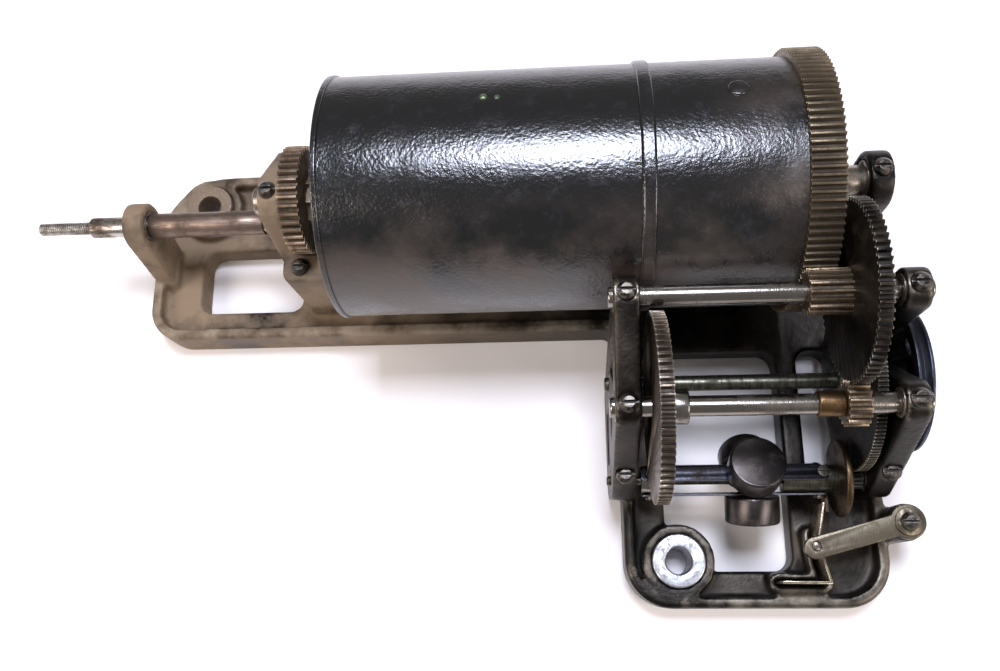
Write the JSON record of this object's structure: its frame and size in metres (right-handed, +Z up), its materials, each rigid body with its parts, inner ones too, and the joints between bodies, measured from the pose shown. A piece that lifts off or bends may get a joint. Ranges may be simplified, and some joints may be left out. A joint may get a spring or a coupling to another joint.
{
  "type": "clockwork spring motor",
  "caption": "Spring motor with a toothed mainspring barrel, a geared train, a belt pulley and a flyweight governor in an L-shaped cast frame.",
  "frame": {"origin": "axis of the corner mounting bore, in the plane of the frame's underside", "axes": "+X along the barrel towards the ring gear and pulley, +Z up from the underside, +Y from the governor towards the barrel"},
  "size_m": [0.3137, 0.1776, 0.1115],
  "materials": {
    "cast_iron_frame": "oily cast iron with dust",
    "black_japan": "black japanned steel",
    "dark_gear_steel": "darkened cut gear steel",
    "bright_shaft_steel": "worn bright steel",
    "tarnished_brass": "tarnished brass",
    "bushing_metal": "cast white metal",
    "blued_screw_steel": "blued screws",
    "spring_steel": "tempered spring steel",
    "pulley_steel": "blue-black turned steel",
    "weight_steel": "blued weights",
    "lever_nickel": "tarnished nickel plate",
    "brake_leather": "oiled leather"
  },
  "bodies": {
    "frame": {"frame_arm": "cast_iron_frame", "frame_gearbox_tray": "cast_iron_frame", "frame_crank_eye": "cast_iron_frame", "frame_winding_bracket": "cast_iron_frame", "frame_left_wall": "cast_iron_frame", "frame_right_wall": "cast_iron_frame", "frame_shaft_a_post": "cast_iron_frame", "frame_arbor_post": "cast_iron_frame", "frame_lever_post": "cast_iron_frame", "mounting_bushings": "bushing_metal", "left_bearing_bushes": "tarnished_brass", "right_bearing_bushes": "tarnished_brass", "winding_bushes": "tarnished_brass", "bearing_set_screws": "blued_screw_steel", "pillar_screw": "blued_screw_steel", "click_stud": "blued_screw_steel", "lever_screw": "blued_screw_steel", "lever_washer": "blued_screw_steel"},
    "barrel": {"barrel_left_cap": "black_japan", "barrel_long_shell": "black_japan", "barrel_seam_band": "black_japan", "barrel_short_shell": "black_japan", "ring_gear": "dark_gear_steel", "mainspring_1": "spring_steel", "mainspring_2": "spring_steel", "mainspring_3": "spring_steel"},
    "arbor": {"arbor": "bright_shaft_steel", "winding_gear": "dark_gear_steel", "ratchet_wheel": "dark_gear_steel"},
    "click": {"click": "dark_gear_steel"},
    "winding": {"winding_shaft": "bright_shaft_steel", "winding_sleeve": "bright_shaft_steel", "winding_pinion": "dark_gear_steel"},
    "shaft_a": {"shaft_a": "bright_shaft_steel", "pinion_a": "dark_gear_steel", "gear_a": "dark_gear_steel"},
    "shaft_b": {"shaft_b": "bright_shaft_steel", "pinion_b": "dark_gear_steel", "pinion_b_collar": "tarnished_brass", "gear_b": "dark_gear_steel", "gear_b_hub": "bright_shaft_steel"},
    "shaft_c": {"shaft_c": "bright_shaft_steel", "pinion_c": "dark_gear_steel", "pinion_c_collar": "bright_shaft_steel", "gear_c": "dark_gear_steel", "gear_c_hub": "dark_gear_steel", "belt_pulley": "pulley_steel"},
    "governor": {"governor_shaft": "bright_shaft_steel", "governor_pinion": "dark_gear_steel", "governor_hub": "bright_shaft_steel", "governor_hub_screws": "blued_screw_steel", "governor_leaf_springs": "spring_steel"},
    "governor_sleeve": {"governor_sleeve": "bright_shaft_steel", "governor_sleeve_screws": "blued_screw_steel", "friction_disc": "tarnished_brass"},
    "flyweight_1": {"flyweight_1": "weight_steel"},
    "flyweight_2": {"flyweight_2": "weight_steel"},
    "flyweight_3": {"flyweight_3": "weight_steel"},
    "speed_lever": {"speed_lever": "lever_nickel", "lever_pin": "bright_shaft_steel"},
    "brake": {"brake_spring": "spring_steel", "brake_pad": "brake_leather"}
  },
  "joints": [
    {"name": "shaft_c_spin", "type": "hinge", "parent": "frame", "child": "shaft_c", "pos_m": [0, 0.05727, 0.04176], "axis": [1, 0, 0], "continuous": true},
    {"name": "barrel_spin", "type": "hinge", "parent": "frame", "child": "barrel", "pos_m": [0, 0.119, 0.0646], "axis": [1, 0, 0], "continuous": true},
    {"name": "shaft_a_spin", "type": "hinge", "parent": "frame", "child": "shaft_a", "pos_m": [0, 0.07464, 0.08389], "axis": [1, 0, 0], "continuous": true},
    {"name": "shaft_b_spin", "type": "hinge", "parent": "frame", "child": "shaft_b", "pos_m": [0, 0.04328, 0.07247], "axis": [1, 0, 0], "continuous": true},
    {"name": "governor_spin", "type": "hinge", "parent": "frame", "child": "governor", "pos_m": [0, 0.02612, 0.03134], "axis": [1, 0, 0], "continuous": true},
    {"name": "arbor_spin", "type": "hinge", "parent": "frame", "child": "arbor", "pos_m": [0, 0.119, 0.0646], "axis": [1, 0, 0], "continuous": true},
    {"name": "winding_spin", "type": "hinge", "parent": "frame", "child": "winding", "pos_m": [0, 0.1214, 0.04178], "axis": [1, 0, 0], "continuous": true},
    {"name": "click_pivot", "type": "hinge", "parent": "frame", "child": "click", "pos_m": [-0.1215, 0.13849, 0.05335], "axis": [1, 0, 0], "range_deg": [-12, 0], "stiffness_Nm_per_rad": 0.02},
    {"name": "governor_sleeve_slide", "type": "slide", "parent": "governor", "child": "governor_sleeve", "axis": [-1, 0, 0], "range_m": [0, 0.001], "stiffness_N_per_m": 200},
    {"name": "flyweight_1_slide", "type": "slide", "parent": "governor", "child": "flyweight_1", "axis": [0, 0.2756, 0.9613], "range_m": [0, 0.002]},
    {"name": "flyweight_2_slide", "type": "slide", "parent": "governor", "child": "flyweight_2", "axis": [0, -0.9703, -0.2419], "range_m": [0, 0.002]},
    {"name": "flyweight_3_slide", "type": "slide", "parent": "governor", "child": "flyweight_3", "axis": [0, 0.6947, -0.7193], "range_m": [0, 0.002]},
    {"name": "speed_lever_pivot", "type": "hinge", "parent": "frame", "child": "speed_lever", "pos_m": [0.0745, 0.01172, 0.0285], "axis": [0, 0, 1], "range_deg": [-6, 2.5]},
    {"name": "brake_flex", "type": "hinge", "parent": "frame", "child": "brake", "pos_m": [0.0484, -0.0076, 0.0135], "axis": [0, 0, 1], "range_deg": [-1.2, 0.5]}
  ],
  "couplings": [
    {"joint": "barrel_spin", "follows": "shaft_c_spin", "ratio": -0.0066018},
    {"joint": "shaft_a_spin", "follows": "shaft_c_spin", "ratio": 0.043494},
    {"joint": "shaft_b_spin", "follows": "shaft_c_spin", "ratio": -0.18421},
    {"joint": "governor_spin", "follows": "shaft_c_spin", "ratio": -9.4286},
    {"joint": "arbor_spin", "follows": "winding_spin", "ratio": -0.30769},
    {"joint": "flyweight_1_slide", "follows": "governor_sleeve_slide", "ratio": 2},
    {"joint": "flyweight_2_slide", "follows": "governor_sleeve_slide", "ratio": 2},
    {"joint": "flyweight_3_slide", "follows": "governor_sleeve_slide", "ratio": 2},
    {"joint": "brake_flex", "follows": "speed_lever_pivot", "ratio": 0.2}
  ]
}
